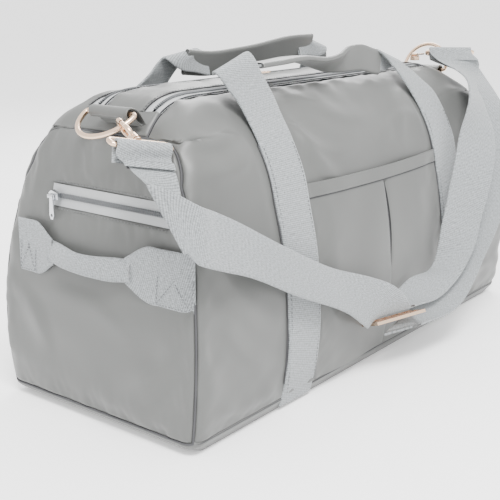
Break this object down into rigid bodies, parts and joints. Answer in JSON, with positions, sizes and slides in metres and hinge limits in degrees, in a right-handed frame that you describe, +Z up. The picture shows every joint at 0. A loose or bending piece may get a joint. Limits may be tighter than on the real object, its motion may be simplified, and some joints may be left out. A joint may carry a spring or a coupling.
{
  "type": "duffel bag",
  "caption": "Grey nylon travel duffel with two top zips, an open front pocket, webbing carry handles and a shoulder strap.",
  "frame": {"origin": "centre of the flat base panel, on the surface the bag stands on", "axes": "+X along the bag, -Y out of the face with the open pocket, +Z up"},
  "size_m": [0.4834, 0.2286, 0.2509],
  "materials": {
    "nylon": "smooth with a slight sheen",
    "webbing": "ribbed weave",
    "zip_tape": "fine twill",
    "zip_coil": "satin",
    "lining": "plain weave",
    "board": "matt",
    "rose_metal": "polished light rose gold plate",
    "silver_metal": "bright nickel"
  },
  "bodies": {
    "bag": {"bottom_panel": "nylon", "left_end_upper": "nylon", "left_end_lower": "nylon", "right_end_upper": "nylon", "right_end_lower": "nylon", "front_panel": "nylon", "back_panel": "nylon", "top_strip": "nylon", "left_zip_tapes": "zip_tape", "left_zip_coil": "zip_coil", "right_zip_tapes": "zip_tape", "right_zip_coil": "zip_coil", "front_zip_tapes": "zip_tape", "front_zip_coil": "zip_coil", "back_zip_tapes": "zip_tape", "back_zip_coil": "zip_coil", "front_leg_left": "webbing", "front_leg_right": "webbing", "back_leg_left": "webbing", "back_leg_right": "webbing", "front_pocket_left": "nylon", "front_pocket_right": "nylon", "front_pocket_hems": "nylon", "lining": "lining", "base_board": "board", "compartment_divider": "lining", "left_pouch": "lining", "right_pouch": "lining", "grab_patches": "webbing", "left_ring_tab": "nylon", "right_ring_tab": "nylon", "strap_long": "webbing", "strap_loop": "webbing"},
    "front_handle": {"front_handle_webbing": "webbing", "front_handle_grip": "nylon"},
    "back_handle": {"back_handle_webbing": "webbing", "back_handle_grip": "nylon"},
    "grab_handle": {"grab_grip": "webbing"},
    "left_ring": {"left_ring": "rose_metal"},
    "left_hook": {"left_hook": "rose_metal"},
    "left_gate": {"left_hook_gate": "rose_metal"},
    "left_eye": {"left_strap_eye": "rose_metal"},
    "right_ring": {"right_ring": "rose_metal"},
    "right_hook": {"right_hook": "rose_metal"},
    "right_gate": {"right_hook_gate": "rose_metal"},
    "right_eye": {"right_strap_eye": "rose_metal"},
    "strap_adjuster": {"strap_adjuster": "rose_metal"},
    "front_left_slider": {"front_left_slider": "rose_metal"},
    "front_left_pull": {"front_left_pull": "rose_metal"},
    "front_right_slider": {"front_right_slider": "rose_metal"},
    "front_right_pull": {"front_right_pull": "rose_metal"},
    "back_slider": {"back_slider": "rose_metal"},
    "back_pull": {"back_pull": "rose_metal"},
    "left_end_slider": {"left_end_slider": "silver_metal"},
    "left_end_pull": {"left_end_pull": "silver_metal"},
    "right_end_slider": {"right_end_slider": "silver_metal"},
    "right_end_pull": {"right_end_pull": "silver_metal"}
  },
  "joints": [
    {"name": "front_handle_swing", "type": "hinge", "parent": "bag", "child": "front_handle", "pos_m": [0, -0.06455, 0.196], "axis": [1, 0, 0], "range_deg": [0, 130]},
    {"name": "back_handle_swing", "type": "hinge", "parent": "bag", "child": "back_handle", "pos_m": [0, 0.06455, 0.196], "axis": [-1, 0, 0], "range_deg": [0, 130]},
    {"name": "grab_handle_lift", "type": "hinge", "parent": "bag", "child": "grab_handle", "pos_m": [-0.2265, 0, 0.116], "axis": [0, 1, 0], "range_deg": [-12, 12]},
    {"name": "left_ring_swing", "type": "hinge", "parent": "bag", "child": "left_ring", "pos_m": [-0.208, -0.01, 0.213], "axis": [0, 1, 0], "range_deg": [0, 40], "deforming": ["strap_long"]},
    {"name": "left_hook_swing", "type": "hinge", "parent": "left_ring", "child": "left_hook", "pos_m": [-0.21791, -0.02971, 0.2068], "axis": [-0.7686, 0.4226, -0.4803], "range_deg": [0, 12]},
    {"name": "left_gate_open", "type": "hinge", "parent": "left_hook", "child": "left_gate", "pos_m": [-0.22346, -0.03726, 0.20903], "axis": [-0.7686, 0.4226, -0.4803], "range_deg": [0, 24]},
    {"name": "left_eye_swivel", "type": "hinge", "parent": "left_hook", "child": "left_eye", "pos_m": [-0.21791, -0.02971, 0.2068], "axis": [-0.3129, -0.9031, -0.294], "range_deg": [-25, 25]},
    {"name": "right_ring_swing", "type": "hinge", "parent": "bag", "child": "right_ring", "pos_m": [0.208, -0.01, 0.213], "axis": [0, 1, 0], "range_deg": [-12, 40], "deforming": ["strap_loop"]},
    {"name": "right_hook_swing", "type": "hinge", "parent": "right_ring", "child": "right_hook", "pos_m": [0.21053, -0.03119, 0.21995], "axis": [0.3333, 0.225, 0.9156], "range_deg": [-12, 12]},
    {"name": "right_gate_open", "type": "hinge", "parent": "right_hook", "child": "right_gate", "pos_m": [0.20747, -0.03974, 0.22316], "axis": [0.3333, 0.225, 0.9156], "range_deg": [0, 24]},
    {"name": "right_eye_swivel", "type": "hinge", "parent": "right_hook", "child": "right_eye", "pos_m": [0.21053, -0.03119, 0.21995], "axis": [-0.7679, -0.4986, 0.402], "range_deg": [-25, 25]},
    {"name": "front_left_slider_run", "type": "slide", "parent": "bag", "child": "front_left_slider", "axis": [1, 0, 0], "range_m": [-0.07, 0.2]},
    {"name": "front_left_pull_flip", "type": "hinge", "parent": "front_left_slider", "child": "front_left_pull", "pos_m": [-0.078, -0.026, 0.22969], "axis": [0, 1, 0], "range_deg": [-20, 0]},
    {"name": "front_right_slider_run", "type": "slide", "parent": "bag", "child": "front_right_slider", "axis": [1, 0, 0], "range_m": [-0.01, 0]},
    {"name": "front_right_pull_flip", "type": "hinge", "parent": "front_right_slider", "child": "front_right_pull", "pos_m": [0.158, -0.026, 0.22969], "axis": [0, 1, 0], "range_deg": [-170, 0]},
    {"name": "back_slider_run", "type": "slide", "parent": "bag", "child": "back_slider", "axis": [1, 0, 0], "range_m": [-0.26, 0.02]},
    {"name": "back_pull_flip", "type": "hinge", "parent": "back_slider", "child": "back_pull", "pos_m": [0.12, 0.026, 0.22969], "axis": [0, 1, 0], "range_deg": [-170, 0]},
    {"name": "left_end_slider_run", "type": "slide", "parent": "bag", "child": "left_end_slider", "axis": [0, 1, 0], "range_m": [-0.095, 0]},
    {"name": "left_end_pull_lift", "type": "hinge", "parent": "left_end_slider", "child": "left_end_pull", "pos_m": [-0.22071, 0.038, 0.154], "axis": [0, 1, 0], "range_deg": [0, 90]},
    {"name": "right_end_slider_run", "type": "slide", "parent": "bag", "child": "right_end_slider", "axis": [0, 1, 0], "range_m": [0, 0.11]},
    {"name": "right_end_pull_lift", "type": "hinge", "parent": "right_end_slider", "child": "right_end_pull", "pos_m": [0.23136, -0.062, 0.03], "axis": [0, 1, 0], "range_deg": [-90, 0]},
    {"name": "adjuster_run", "type": "slide", "parent": "bag", "child": "strap_adjuster", "axis": [0.8638, -0.0402, -0.5022], "range_m": [-0.01, 0.01]}
  ]
}
